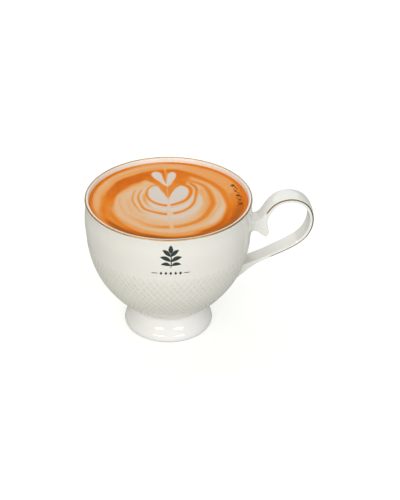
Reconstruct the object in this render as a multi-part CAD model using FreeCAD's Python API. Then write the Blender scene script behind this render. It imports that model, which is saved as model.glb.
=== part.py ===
"""Flat white in its footed bone-china cup: the cup with its loop handle, and the drink in it.

Millimetres, +Z up.  The origin is the centre of the foot ring on the table, the handle
points along +X and the decorated front faces -Y.
"""
import FreeCAD, Part
import math
import os

os.makedirs("parts", exist_ok=True)

V = FreeCAD.Vector

# ---- driving dimensions -------------------------------------------------------------
RIM_RADIUS = 41.0          # outside radius at the lip
CUP_HEIGHT = 72.7          # table to lip
WALL = 2.0                 # fired china wall of the bowl
FLOOR = 3.0                # china under the drink, above the hollow of the foot
FOOT_RADIUS = 22.5         # widest part of the foot
FOOT_BASE_RADIUS = 21.6    # outside of the ring that touches the table
FOOT_RING = 1.7            # breadth of that ring
FOOT_ROUND_HEIGHT = 1.7    # height of the foot's widest part
NECK_RADIUS = 19.2         # waist between foot and bowl
NECK_HEIGHT = 12.0
FOOT_WALL = 2.4            # china around the hollow of the foot
HEADSPACE = 2.6            # lip down to the drink
LIP_ROUND = 0.93           # radius of the rounded lip

HANDLE_REACH = 31.0        # lip out to the far side of the loop
STRAP_THICKNESS = 2.4      # handle strap at the top of its loop
STRAP_THIN = 2.1           # and where it runs down to the bowl
STRAP_TOP_WIDTH = 10.6     # breadth of the strap at the top of the loop
STRAP_LOW_WIDTH = 8.6      # and at its lower end
OUTER_ROUND = 0.8          # rounding of the strap's long edges on its outer side
INNER_ROUND = 0.5          # and on its inner side
SPUR_ROUND = 1.3           # end of the thumb spur under the handle's neck
SPUR_BACK = 1.24           # from the spur's tip out to its back, above the tip
SPUR_FRONT = 2.852         # and from the tip in to the hollow under the neck
ROOT_DEPTH = 1.1           # how far the handle's ends reach into the wall

# Outside of the bowl: radius as a share of the lip's, height as a share of the way from
# waist to lip.
BOWL_FORM = (
    (0.545, 0.062),
    (0.633, 0.114),
    (0.750, 0.209),
    (0.869, 0.341),
    (0.958, 0.521),
    (0.997, 0.701),
    (1.004, 0.855),
    (0.9945, 0.952),
)
# Outside of the foot: share of its swell beyond the waist, share of the waist's height.
FOOT_FORM = (
    (0.865, 0.300),
    (0.480, 0.520),
    (0.150, 0.760),
)
# Outside of the handle's loop: share of its reach beyond the lip, share of the cup's height.
LOOP_FORM = (
    (0.100, 0.8235),
    (0.202, 0.8752),
    (0.360, 0.9557),
    (0.599, 0.9866),
    (0.864, 0.9450),
    (1.000, 0.8188),
    (0.902, 0.6711),
    (0.618, 0.5745),
    (0.237, 0.4953),
    (0.016, 0.4362),
)
# Where the strap runs down along the bowl: share of the cup's height, clear of the bowl.
RUN_IN = (
    (0.370, 4.0),
    (0.320, 1.9),
)


# ---- small helpers ------------------------------------------------------------------
def spline(points, start=None, end=None):
    """A smooth curve through points, with the end directions where they are given."""
    curve = Part.BSplineCurve()
    if start is not None and end is not None:
        curve.interpolate(Points=points, InitialTangent=start, FinalTangent=end)
    else:
        curve.interpolate(Points=points)
    return curve


def line(a, b):
    return Part.makeLine(a, b)


def arc(a, middle, b):
    return Part.Arc(a, middle, b).toShape()


def turned(edges):
    """Solid of revolution about the Z axis from the edges of half a section."""
    return Part.Face(Part.Wire(edges)).revolve(V(0, 0, 0), V(0, 0, 1), 360)


def beside(curve, share, inset):
    """The point at a share of a curve's range, moved square to it towards its left side."""
    at = curve.FirstParameter + share * (curve.LastParameter - curve.FirstParameter)
    along = curve.tangent(at)[0]
    return curve.value(at) + V(-along.z, 0, along.x) * inset


# ---- the bowl and its foot ----------------------------------------------------------
RISE = CUP_HEIGHT - NECK_HEIGHT
LIP_START = V(RIM_RADIUS, 0, CUP_HEIGHT - LIP_ROUND)


def outside_curve():
    """Outside of the cup in half section, from the foot's widest part up to the lip."""
    swell = FOOT_RADIUS - NECK_RADIUS
    points = [V(FOOT_RADIUS, 0, FOOT_ROUND_HEIGHT)]
    points += [V(NECK_RADIUS + share * swell, 0, up * NECK_HEIGHT) for share, up in FOOT_FORM]
    points.append(V(NECK_RADIUS, 0, NECK_HEIGHT))
    points += [V(share * RIM_RADIUS, 0, NECK_HEIGHT + up * RISE) for share, up in BOWL_FORM]
    return spline(points + [LIP_START])


OUTER = outside_curve()


def share_at(height):
    """Share of the outside curve's range where it passes a height on its way up."""
    low, high = 0.0, 1.0
    for _ in range(50):
        middle = (low + high) / 2
        if beside(OUTER, middle, 0).z < height:
            low = middle
        else:
            high = middle
    return low


def radius_at(height):
    return beside(OUTER, share_at(height), 0).x


HOLLOW_TOP = NECK_HEIGHT + 0.5                       # ceiling of the hollow in the foot
FLOOR_TOP = HOLLOW_TOP + FLOOR                       # where the drink begins
INNER_HEIGHTS = (0.10, 0.19, 0.32, 0.50, 0.68, 0.84, 0.94)
LIP_INNER = V(RIM_RADIUS - 2 * LIP_ROUND, 0, CUP_HEIGHT - LIP_ROUND)


def cavity_edges():
    """Half section of the space inside the bowl, up through the lip."""
    wall = [beside(OUTER, share_at(NECK_HEIGHT + up * RISE), WALL) for up in INNER_HEIGHTS]
    flat = V(0.30 * RIM_RADIUS, 0, FLOOR_TOP)
    curve = spline([flat] + wall + [LIP_INNER], V(6, 0, 0), V(0, 0, 1)).toShape()
    top = V(LIP_INNER.x, 0, CUP_HEIGHT + 5)
    return [
        line(V(0, 0, FLOOR_TOP), flat),
        curve,
        line(LIP_INNER, top),
        line(top, V(0, 0, top.z)),
        line(V(0, 0, top.z), V(0, 0, FLOOR_TOP)),
    ]


def body_edges():
    """Half section of the cup as if it were solid, with the hollow of the foot left out."""
    base_out = V(FOOT_BASE_RADIUS, 0, 0)
    base_in = V(FOOT_BASE_RADIUS - FOOT_RING, 0, 0)
    foot_side = V(FOOT_RADIUS, 0, FOOT_ROUND_HEIGHT)
    side_mid = V(FOOT_RADIUS - 0.22, 0, 0.55 * FOOT_ROUND_HEIGHT)
    hollow_low = V(base_in.x - 0.5, 0, 0.9)
    hollow_side = NECK_RADIUS - FOOT_WALL
    corner = 2.4
    hollow_corner = V(hollow_side - 0.3, 0, HOLLOW_TOP - corner)
    corner_mid = V(hollow_corner.x - 0.3 * corner, 0, HOLLOW_TOP - 0.3 * corner)
    ceiling = V(hollow_corner.x - corner, 0, HOLLOW_TOP)
    lip_top = V(RIM_RADIUS - LIP_ROUND, 0, CUP_HEIGHT)
    slant = 1 - math.sqrt(0.5)
    lip_out_mid = V(RIM_RADIUS - slant * LIP_ROUND, 0, CUP_HEIGHT - slant * LIP_ROUND)
    lip_in_mid = V(LIP_INNER.x + slant * LIP_ROUND, 0, CUP_HEIGHT - slant * LIP_ROUND)
    return [
        line(base_in, base_out),
        arc(base_out, side_mid, foot_side),
        OUTER.toShape(),
        arc(LIP_START, lip_out_mid, lip_top),
        arc(lip_top, lip_in_mid, LIP_INNER),
        line(LIP_INNER, V(0, 0, LIP_INNER.z)),
        line(V(0, 0, LIP_INNER.z), V(0, 0, HOLLOW_TOP)),
        line(V(0, 0, HOLLOW_TOP), ceiling),
        arc(ceiling, corner_mid, hollow_corner),
        line(hollow_corner, hollow_low),
        line(hollow_low, base_in),
    ]


# ---- the handle ---------------------------------------------------------------------
NECK_TOP = 0.8190 * CUP_HEIGHT       # upper side of the short neck at the bowl
NECK_UNDER = 0.7410 * CUP_HEIGHT     # its lower side
LOW_END = 0.283 * CUP_HEIGHT         # where the strap's outer face has run into the bowl
LOW_INNER_END = 0.415 * CUP_HEIGHT   # and its inner face


def out_up(out, up):
    """A point in the handle's plane from its shares of reach and height."""
    return V(RIM_RADIUS + out * HANDLE_REACH, 0, up * CUP_HEIGHT)


def off_bowl(up, clear):
    """A point in the handle's plane at a height, so far clear of the bowl."""
    return V(radius_at(up) + clear, 0, up)


ROOT_UPPER = off_bowl(NECK_TOP, -ROOT_DEPTH)
ROOT_UNDER = off_bowl(NECK_UNDER - 0.6, -ROOT_DEPTH)
STRAP_OUTER = spline(
    [ROOT_UPPER]
    + [out_up(out, up) for out, up in LOOP_FORM]
    + [off_bowl(up * CUP_HEIGHT, clear) for up, clear in RUN_IN]
    + [off_bowl(LOW_END, -0.4 * ROOT_DEPTH)]
)
# Shares of the outer curve's range where the inner face is set off from it.
STRAP_SHARES = (0.765, 0.69, 0.61, 0.53, 0.45, 0.38, 0.31, 0.24, 0.17)


def handle_outline():
    """Outline of the handle in its own plane: outer curve down, inner curve and spur back."""
    inner_end = off_bowl(LOW_INNER_END, -ROOT_DEPTH)
    points = [inner_end]
    steps = len(STRAP_SHARES) - 1
    for step, share in enumerate(STRAP_SHARES):
        thickness = STRAP_THIN + (STRAP_THICKNESS - STRAP_THIN) * step / steps
        points.append(beside(STRAP_OUTER, share, -thickness))
    tip = out_up(0.232, 0.6900)
    points += [
        out_up(0.271, 0.8490),
        out_up(0.241, 0.7970),
        tip + V(SPUR_BACK, 0, 0.0530 * CUP_HEIGHT),
        tip + V(0.95 * SPUR_ROUND, 0, 1.05 * SPUR_ROUND),
        tip,
        tip + V(-1.05 * SPUR_ROUND, 0, 0.42 * SPUR_ROUND),
        tip + V(-SPUR_FRONT, 0, 0.0260 * CUP_HEIGHT),
        out_up(0.080, 0.7350),
        ROOT_UNDER,
    ]
    first = STRAP_OUTER.value(STRAP_OUTER.FirstParameter)
    last = STRAP_OUTER.value(STRAP_OUTER.LastParameter)
    return [
        STRAP_OUTER.toShape(),
        line(last, inner_end),
        spline(points).toShape(),
        line(ROOT_UNDER, first),
    ]


def long_edges(strap, outer):
    """The two long curves along the strap's sides, of its outer or of its inner face."""
    found = []
    for edge in strap.Edges:
        box = edge.BoundBox
        one_side = box.YMin * box.YMax > 0
        spans = box.XMax - box.XMin > 0.8 * HANDLE_REACH
        on_outside = box.XMax > RIM_RADIUS + HANDLE_REACH - 0.6 * STRAP_THICKNESS
        if one_side and spans and on_outside == outer:
            found.append(edge)
    return found


def handle_solid():
    """The strap, narrower towards its lower end, with its long edges rounded."""
    half_top, half_low = STRAP_TOP_WIDTH / 2, STRAP_LOW_WIDTH / 2
    spare = 2.0
    plate = Part.Face(Part.Wire(handle_outline())).extrude(V(0, 2 * (half_top + spare), 0))
    plate.translate(V(0, -half_top - spare, 0))
    low_z, high_z = 0.1 * CUP_HEIGHT, 1.02 * CUP_HEIGHT
    lean = (half_top - half_low) / (0.55 * CUP_HEIGHT)
    low_half = half_low - lean * (0.43 * CUP_HEIGHT - low_z)
    high_half = half_top + lean * (high_z - 0.985 * CUP_HEIGHT)
    start = 0.4 * RIM_RADIUS
    corners = [V(start, -low_half, low_z), V(start, low_half, low_z),
               V(start, high_half, high_z), V(start, -high_half, high_z)]
    wedge = Part.Face(Part.makePolygon(corners + corners[:1]))
    wedge = wedge.extrude(V(RIM_RADIUS + HANDLE_REACH, 0, 0))
    strap = plate.common(wedge).Solids[0]
    for radius, outer in ((OUTER_ROUND, True), (INNER_ROUND, False)):
        strap = strap.makeFillet(radius, long_edges(strap, outer))
    return strap


# ---- the two pieces -----------------------------------------------------------------
cavity = turned(cavity_edges())
cup = turned(body_edges()).fuse(handle_solid()).cut(cavity).removeSplitter()

level = CUP_HEIGHT - HEADSPACE
below_level = Part.makeCylinder(RIM_RADIUS, level - 1, V(0, 0, 1))
coffee = cavity.common(below_level)

for name, shape in (("cup", cup), ("coffee", coffee)):
    solid = shape.Solids[0]
    assert len(shape.Solids) == 1 and solid.isValid(), name
    solid.exportStep("parts/" + name + ".step")
    box = solid.optimalBoundingBox()
    print(name, "volume cm3 %.2f" % (solid.Volume / 1000),
          "x %.2f %.2f y %.2f %.2f z %.2f %.2f" % (box.XMin, box.XMax, box.YMin, box.YMax,
                                                   box.ZMin, box.ZMax))
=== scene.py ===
"""A flat white in its footed bone-china cup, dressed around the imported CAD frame.

Sizes are in millimetres and are turned to metres where a mesh is made.  The foot ring
stands on Z = 0, the handle points along +X and the decorated front faces -Y.
"""
import logging
import math
from dataclasses import dataclass, field
from enum import Enum

import bmesh
import bpy
import numpy as np
from bpy.types import Camera, Light, Material, Node, NodeSocket, Object, World
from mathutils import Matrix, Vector


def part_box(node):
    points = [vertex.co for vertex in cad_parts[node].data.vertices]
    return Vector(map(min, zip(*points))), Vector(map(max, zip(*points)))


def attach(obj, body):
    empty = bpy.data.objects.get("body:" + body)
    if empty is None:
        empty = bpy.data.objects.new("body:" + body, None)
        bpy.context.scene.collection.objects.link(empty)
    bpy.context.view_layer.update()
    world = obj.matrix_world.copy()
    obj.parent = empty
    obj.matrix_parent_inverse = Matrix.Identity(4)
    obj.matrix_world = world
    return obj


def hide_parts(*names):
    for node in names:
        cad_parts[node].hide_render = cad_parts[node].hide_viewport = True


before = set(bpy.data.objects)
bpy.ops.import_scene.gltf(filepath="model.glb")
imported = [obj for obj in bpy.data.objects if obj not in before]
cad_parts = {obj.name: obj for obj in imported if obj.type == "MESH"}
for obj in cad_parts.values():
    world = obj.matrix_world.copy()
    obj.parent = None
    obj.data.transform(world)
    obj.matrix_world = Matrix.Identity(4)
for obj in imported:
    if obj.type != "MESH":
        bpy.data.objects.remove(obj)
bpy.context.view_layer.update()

MM = 0.001
WELD = 0.0005 * MM              # points nearer than this are one
BODY = "root"
log = logging.getLogger("flat_white")


class Side(Enum):
    """The two long edges of the handle's strap."""

    NEAR = -1
    FAR = 1


class Lean(Enum):
    """Which way a family of net lines leans on the bowl."""

    RIGHT = 1
    LEFT = -1


# ---- numbers and curves --------------------------------------------------------------
def smooth(low: float, high: float, value: np.ndarray) -> np.ndarray:
    """Rise smoothly from 0 to 1.

    Args:
        low: value at which the rise starts.
        high: value at which it ends, which may be the lower of the two.
        value: where it is read.

    Returns:
        The risen share at each value.
    """
    share = np.clip((value - low) / (high - low), 0.0, 1.0)
    return share * share * (3.0 - 2.0 * share)


def lengths(points: np.ndarray) -> np.ndarray:
    """Lengths along a line of points, from its first point to each."""
    return np.concatenate([[0.0], np.cumsum(np.linalg.norm(np.diff(points, axis=0), axis=1))])


class Spline:
    """A natural cubic through a few points, measured by the lengths of its chords."""

    def __init__(self, points: list, closed: bool = False) -> None:
        """Fit the curve.

        Args:
            points: its points, of any number of dimensions.
            closed: whether it runs back into its first point.
        """
        self.points = np.array(points, float)
        wrap = 3 if closed else 0
        if closed:
            self.points = np.vstack([self.points[-wrap:], self.points, self.points[:wrap + 1]])
        chords = np.linalg.norm(np.diff(self.points, axis=0), axis=1)
        self.knots = lengths(self.points)
        self.start, self.end = self.knots[wrap], self.knots[-wrap - 1]
        matrix, right = np.eye(len(self.points)), np.zeros_like(self.points)
        for i in range(1, len(self.points) - 1):
            before, after = chords[i - 1], chords[i]
            matrix[i, i - 1:i + 2] = before, 2 * (before + after), after
            right[i] = 6 * ((self.points[i + 1] - self.points[i]) / after
                            - (self.points[i] - self.points[i - 1]) / before)
        self.bend = np.linalg.solve(matrix, right)

    def at(self, share: np.ndarray) -> np.ndarray:
        """Points of the curve, one a row, at shares of its range from 0 to 1.

        Args:
            share: shares of its range, from 0 to 1.

        Returns:
            The points, one a row.
        """
        here = self.start + np.atleast_1d(np.asarray(share, float)) * (self.end - self.start)
        index = np.searchsorted(self.knots, here, side="right") - 1
        index = np.clip(index, 0, len(self.knots) - 2)
        width = self.knots[index + 1] - self.knots[index]
        right = ((here - self.knots[index]) / width)[:, None]
        left, width = 1.0 - right, width[:, None]
        return (left * self.points[index] + right * self.points[index + 1]
                + ((left ** 3 - left) * self.bend[index]
                   + (right ** 3 - right) * self.bend[index + 1]) * width ** 2 / 6)

    def along(self, share: np.ndarray) -> np.ndarray:
        """Unit directions of the curve at the shares of its range.

        Args:
            share: shares of its range, from 0 to 1.

        Returns:
            The directions, one a row.
        """
        step = 1e-4
        share = np.atleast_1d(np.asarray(share, float))
        way = self.at(np.minimum(share + step, 1.0)) - self.at(np.maximum(share - step, 0.0))
        return way / np.linalg.norm(way, axis=1)[:, None]

    def knot_share(self, index: int) -> float:
        """Share of the range at one of the points."""
        return float((self.knots[index] - self.start) / (self.end - self.start))

    def even(self, count: int) -> np.ndarray:
        """So many points at even lengths along the curve, both its ends included.

        Args:
            count: how many points.

        Returns:
            The points, one a row.
        """
        share = np.linspace(0, 1, 1200)
        dense = self.at(share)
        run = lengths(dense)
        return self.at(np.interp(np.linspace(0, run[-1], count), run, share))


# ---- meshes --------------------------------------------------------------------------
def deselect() -> None:
    """Leave nothing selected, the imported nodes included."""
    if bpy.context.mode != "OBJECT":
        bpy.ops.object.mode_set(mode="OBJECT")
    bpy.ops.object.select_all(action="DESELECT")


def seal(weld: bool = True) -> None:
    """Turn the edited mesh's faces outwards, leave edit mode and smooth it.

    Args:
        weld: whether points that lie on each other are first made one.
    """
    bpy.ops.mesh.select_all(action="SELECT")
    if weld:
        bpy.ops.mesh.remove_doubles(threshold=WELD)
    bpy.ops.mesh.normals_make_consistent(inside=False)
    bpy.ops.object.mode_set(mode="OBJECT")
    bpy.ops.object.shade_smooth()


def turned(name: str, profile: np.ndarray, steps: int) -> Object:
    """Draw half a section by extruding one vertex, and spin it about the Z axis.

    Args:
        name: name of the new piece.
        profile: radius and height of each point of the section, in millimetres.
        steps: how many steps go round.

    Returns:
        The closed piece.
    """
    points = [Vector((r * MM, 0, z * MM)) for r, z in profile]
    deselect()
    bpy.ops.mesh.primitive_plane_add(size=MM, location=points[0])
    piece = bpy.context.object
    piece.name = piece.data.name = name
    bpy.ops.object.transform_apply(location=True, rotation=True, scale=True)
    bpy.ops.object.mode_set(mode="EDIT")
    bpy.ops.mesh.select_all(action="SELECT")
    bpy.ops.mesh.merge(type="CENTER")
    for here, there in zip(points, points[1:]):
        bpy.ops.mesh.extrude_region_move(TRANSFORM_OT_translate={"value": there - here})
    bpy.ops.mesh.select_all(action="SELECT")
    bpy.ops.mesh.spin(steps=steps, angle=math.tau, center=(0, 0, 0), axis=(0, 0, 1))
    seal()
    return piece


def skinned(name: str, loops: np.ndarray) -> Object:
    """Skin closed sections that follow formulas, which no operator draws.

    Args:
        name: name of the new piece.
        loops: X, Y and Z in millimetres of the points of each section.

    Returns:
        The piece, closed at both ends.
    """
    rows, columns = loops.shape[:2]
    faces = []
    for low in range(0, (rows - 1) * columns, columns):
        for here in range(columns):
            after = (here + 1) % columns
            faces.append((low + here, low + after, low + columns + after, low + columns + here))
    faces += [tuple(range(columns)), tuple(range((rows - 1) * columns, rows * columns))]
    deselect()
    mesh = bpy.data.meshes.new(name)
    mesh.from_pydata((loops.reshape(-1, 3) * MM).tolist(), [], faces)
    piece = bpy.data.objects.new(name, mesh)
    bpy.context.scene.collection.objects.link(piece)
    piece.select_set(True)
    bpy.context.view_layer.objects.active = piece
    bpy.ops.object.mode_set(mode="EDIT")
    seal()
    return piece


def joined(name: str, pieces: list[Object]) -> Object:
    """Join copies into one piece with the given name.

    Args:
        name: name of the new piece.
        pieces: what is joined.

    Returns:
        The joined piece.
    """
    deselect()
    for piece in pieces:
        piece.select_set(True)
    bpy.context.view_layer.objects.active = pieces[0]
    bpy.ops.object.join()
    pieces[0].name = pieces[0].data.name = name
    return pieces[0]


def read_points(piece: Object) -> np.ndarray:
    """The piece's points in millimetres, one a row.

    Args:
        piece: the piece.

    Returns:
        Its points.
    """
    flat = np.zeros(len(piece.data.vertices) * 3)
    piece.data.vertices.foreach_get("co", flat)
    return flat.reshape(-1, 3) / MM


def write_points(piece: Object, points: np.ndarray) -> None:
    """Put the piece's points at new places, given in millimetres."""
    piece.data.vertices.foreach_set("co", (points * MM).ravel())
    piece.data.update()


def write_value(piece: Object, name: str, values: np.ndarray) -> None:
    """Keep a value at each point of the piece, for its material to read by its name."""
    piece.data.attributes.new(name, "FLOAT", "POINT").data.foreach_set("value", values)


def face_corners(piece: Object) -> tuple[np.ndarray, np.ndarray]:
    """The point and the face of each face corner of the piece.

    Args:
        piece: the piece.

    Returns:
        The number of each corner's point, and of its face.
    """
    corners = np.zeros(len(piece.data.loops), int)
    piece.data.loops.foreach_get("vertex_index", corners)
    totals = np.zeros(len(piece.data.polygons), int)
    piece.data.polygons.foreach_get("loop_total", totals)
    return corners, np.repeat(np.arange(len(totals)), totals)


def write_map(piece: Object, flat: np.ndarray) -> None:
    """Give the piece a map named OFBake, one row for each face corner."""
    piece.data.uv_layers.new(name="OFBake").data.foreach_set("uv", flat.ravel())


# ---- materials -----------------------------------------------------------------------
def linear(colour: str) -> tuple[float, float, float, float]:
    """Turn an sRGB hex colour to the linear numbers that a socket takes."""
    parts = [int(colour[i:i + 2], 16) / 255 for i in (1, 3, 5)]
    return tuple([p / 12.92 if p <= 0.04045 else ((p + 0.055) / 1.055) ** 2.4
                  for p in parts] + [1.0])


def add_node(owner: Material | World, kind: str,
             settings: dict | None = None, links: dict | None = None) -> Node:
    """Add a node to a material or a world.

    Args:
        owner: the material or world.
        kind: the node's type without its first words, such as TexNoise.
        settings: attributes by name, and socket values by socket name or number.
        links: what feeds the inputs, by socket name or number: an output, or a node that
            stands for its first output.

    Returns:
        The new node.
    """
    node = owner.node_tree.nodes.new("ShaderNode" + kind)
    for key, value in (settings or {}).items():
        if isinstance(key, str) and hasattr(node, key):
            setattr(node, key, value)
        else:
            node.inputs[key].default_value = value
    for key, source in (links or {}).items():
        output = source.outputs[0] if isinstance(source, Node) else source
        owner.node_tree.links.new(output, node.inputs[key])
    return node


def new_material(name: str) -> tuple[Material, NodeSocket]:
    """An empty material with nodes, and the output that gives places on its piece.

    Args:
        name: name of the material.

    Returns:
        The material and that output.
    """
    material = bpy.data.materials.new(name)
    material.use_nodes = True
    material.node_tree.nodes.clear()
    return material, add_node(material, "TexCoord").outputs["Object"]


@dataclass(frozen=True)
class GlazedChina:
    """Bone china, slip cast and glazed: warm white, glassy, faintly see-through at the lip."""

    name: str = "glazed_bone_china"
    colour: str = "#F1EEEA"
    shade: str = "#EAE7DF"
    thin: str = "#F9F7F5"       # painted light: the plain foot is drawn whiter, standing in for the light that falls on it
    hollow_shade_tone: str = "#E3E0D8"     # painted shade for the hollows between the raised lines of the net
    foot_fade: tuple = (14.5, 10.5)     # heights between which the colour turns to the foot's painted light
    roughness: float = 0.07
    cloud_mm: float = 26.0      # how wide the glaze's faint clouds of tone are
    ripple_mm: float = 5.0      # spacing of the slow ripple that fired glaze has
    speck_mm: float = 0.35      # fine orange-peel of the glaze

    def make(self) -> Material:
        """Build the material.

        Returns:
            The new material.
        """
        material, place = new_material(self.name)
        # Fired glaze pools a little, which gives the eye slow warm and cool clouds.
        clouds = add_node(material, "TexNoise", {"Scale": 1 / (self.cloud_mm * MM),
                                                 "Detail": 2.0, "Roughness": 0.5},
                          {"Vector": place})
        tone = add_node(material, "Mix", {"data_type": "RGBA", 6: linear(self.shade),
                                          7: linear(self.colour)}, {0: clouds})
        # Painted light: below the bowl the colour turns to the whiter foot tone, standing in for
        # the light on the foot.
        height = add_node(material, "SeparateXYZ", {}, {"Vector": place})
        foot = add_node(material, "MapRange", {"From Min": self.foot_fade[0] * MM,
                                               "From Max": self.foot_fade[1] * MM},
                        {"Value": height.outputs["Z"]})
        lit_foot_tone = add_node(material, "Mix", {"data_type": "RGBA", 7: linear(self.thin)},
                        {0: foot, 6: tone.outputs[2]})
        # Painted shade: between the raised lines the colour turns greyer, standing in for the shade
        # in the net's hollows.
        hollow_shade = add_node(material, "Attribute", {"attribute_name": "net_hollow_shade"})
        body = add_node(material, "Mix", {"data_type": "RGBA", 7: linear(self.hollow_shade_tone)},
                        {0: hollow_shade.outputs["Fac"], 6: lit_foot_tone.outputs[2]})
        gloss = add_node(material, "MapRange", {"To Min": self.roughness * 0.75,
                                                "To Max": self.roughness * 1.3},
                         {"Value": clouds})
        normal = {}
        for spacing, strength, deep in ((self.ripple_mm, 0.12, 0.1), (self.speck_mm, 0.05, 0.01)):
            relief = add_node(material, "TexNoise", {"Scale": 1 / (spacing * MM), "Detail": 1.0},
                              {"Vector": place})
            bump = add_node(material, "Bump", {"Strength": strength, "Distance": deep * MM},
                            {"Height": relief} | normal)
            normal = {"Normal": bump}
        skin = add_node(material, "BsdfPrincipled",
                        {"IOR": 1.52, "Subsurface Weight": 0.08, "Subsurface Scale": 1.0 * MM,
                         "Subsurface Radius": (1.0, 0.8, 0.6)},
                        {"Base Color": body.outputs[2], "Roughness": gloss} | normal)
        add_node(material, "OutputMaterial", {}, {"Surface": skin})
        return material


@dataclass(frozen=True)
class ThinFilm:
    """A film so thin that one slow pattern carries its tone, its gloss and its relief."""

    name: str
    low: str                    # its tone at the pattern's low end, and at its high end
    high: str
    patch_mm: float
    detail: float
    relief: tuple               # the bump's strength, and its depth in millimetres
    skin: tuple                 # what is the same all over it, by socket name
    gloss: tuple | None = None  # roughness at the low and the high end

    def make(self) -> Material:
        """Build the material.

        Returns:
            The new material.
        """
        material, place = new_material(self.name)
        film = add_node(material, "TexNoise", {"Scale": 1 / (self.patch_mm * MM),
                                               "Detail": self.detail}, {"Vector": place})
        tone = add_node(material, "Mix", {"data_type": "RGBA", 6: linear(self.low),
                                          7: linear(self.high)}, {0: film})
        bump = add_node(material, "Bump", {"Strength": self.relief[0],
                                           "Distance": self.relief[1] * MM}, {"Height": film})
        links = {"Base Color": tone.outputs[2], "Normal": bump}
        if self.gloss:
            low, high = self.gloss
            links["Roughness"] = add_node(material, "MapRange", {"To Min": low, "To Max": high},
                                          {"Value": film})
        skin = add_node(material, "BsdfPrincipled", dict(self.skin), links)
        add_node(material, "OutputMaterial", {}, {"Surface": skin})
        return material


@dataclass(frozen=True)
class BurnishedGilt(ThinFilm):
    """Liquid bright gold, brushed on by hand and fired: thin, warm, a little uneven."""

    name: str = "burnished_gilt_line"
    low: str = "#B48C56"
    high: str = "#DEB67A"
    patch_mm: float = 3.0       # the brush leaves it thicker and thinner this often
    detail: float = 3.0
    relief: tuple = (0.15, 0.02)
    skin: tuple = (("Metallic", 1.0),)
    gloss: tuple = (0.28, 0.56)


@dataclass(frozen=True)
class EnamelDecal(ThinFilm):
    """Dark green-black on-glaze enamel, printed and fired: nearly flat, softly glossy."""

    name: str = "on_glaze_enamel"
    low: str = "#1B2620"
    high: str = "#33423A"
    patch_mm: float = 0.6       # screen printing lays fine dots, drawn coarser to show
    detail: float = 2.0
    relief: tuple = (0.1, 0.01)
    skin: tuple = (("Roughness", 0.3), ("IOR", 1.5))


@dataclass(frozen=True)
class BubbleFilm(ThinFilm):
    """Burst froth bubbles: a wet brown film with the dark coffee showing through."""

    name: str = "coffee_bubble_film"
    low: str = "#643402"
    high: str = "#8C5206"
    patch_mm: float = 0.7       # about as wide as one bubble
    detail: float = 2.0
    relief: tuple = (0.2, 0.02)
    skin: tuple = (("IOR", 1.34),)
    gloss: tuple = (0.12, 0.3)


@dataclass(frozen=True)
class MicrofoamOnCrema:
    """Steamed milk poured through crema: satin, wet, its tone carried by the pour."""

    name: str = "microfoam_on_crema"
    stops: tuple = (
        (0.00, "#8F5628"),      # coffee shaded by the near lip
        (0.10, "#B26318"),      # deep crema
        (0.22, "#DA6B00"),      # fresh crema pushed up by the milk
        (0.32, "#EE8519"), (0.42, "#EA8F3C"), (0.55, "#F0A45C"), (0.66, "#EFB378"),
        (0.76, "#ECC094"), (0.88, "#E8CDB3"),
        (1.00, "#E3D7CF"),      # pure microfoam
    )
    roughness: float = 0.45
    bubble_mm: float = 0.30     # drawn coarser than real microfoam, so that it shows at all
    streak_mm: float = 6.0

    def make(self) -> Material:
        """Build the material.

        Returns:
            The new material.
        """
        material, place = new_material(self.name)
        tone = add_node(material, "Attribute", {"attribute_name": "pour"}).outputs["Fac"]
        streaks = add_node(material, "TexNoise",
                           {"Scale": 1 / (self.streak_mm * MM), "Detail": 4.0,
                            "Roughness": 0.6, "Distortion": 0.8}, {"Vector": place})
        froth = add_node(material, "TexVoronoi", {"Scale": 1 / (self.bubble_mm * MM)},
                         {"Vector": place})
        for pattern, much, less in ((streaks, 0.10, -0.05), (froth, 0.05, -0.02)):
            change = add_node(material, "Math", {"operation": "MULTIPLY_ADD", 1: much, 2: less},
                              {0: pattern})
            tone = add_node(material, "Math", {"operation": "ADD"},
                            {0: tone, 1: change}).outputs[0]
        colours = add_node(material, "ValToRGB", {}, {"Fac": tone})
        ramp = colours.color_ramp
        while len(ramp.elements) < len(self.stops):
            ramp.elements.new(0.5)
        for element, (share, colour) in zip(ramp.elements, self.stops):
            element.position = share
            element.color = linear(colour)
        gloss = add_node(material, "MapRange", {"To Min": self.roughness * 0.8,
                                                "To Max": self.roughness * 1.25},
                         {"Value": tone})
        bump = add_node(material, "Bump", {"Strength": 0.25, "Distance": 0.03 * MM},
                        {"Height": froth})
        skin = add_node(material, "BsdfPrincipled", {"IOR": 1.34, "Specular IOR Level": 0.07},
                        {"Base Color": colours, "Roughness": gloss, "Normal": bump})
        add_node(material, "OutputMaterial", {}, {"Surface": skin})
        return material


def finish_piece(piece: Object, material: Material,
                 replaced: str | None = None) -> None:
    """Dress a piece, let it ride on the object's one body and report it.

    Args:
        piece: the finished piece.
        material: its finish.
        replaced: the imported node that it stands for, if it stands for one.
    """
    piece.data.materials.clear()
    piece.data.materials.append(material)
    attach(piece, BODY)
    if replaced:
        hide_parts(replaced)
    triangles = sum(len(face.vertices) - 2 for face in piece.data.polygons)
    log.info("%s: %d triangles, %s", piece.name, triangles, material.name)


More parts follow.
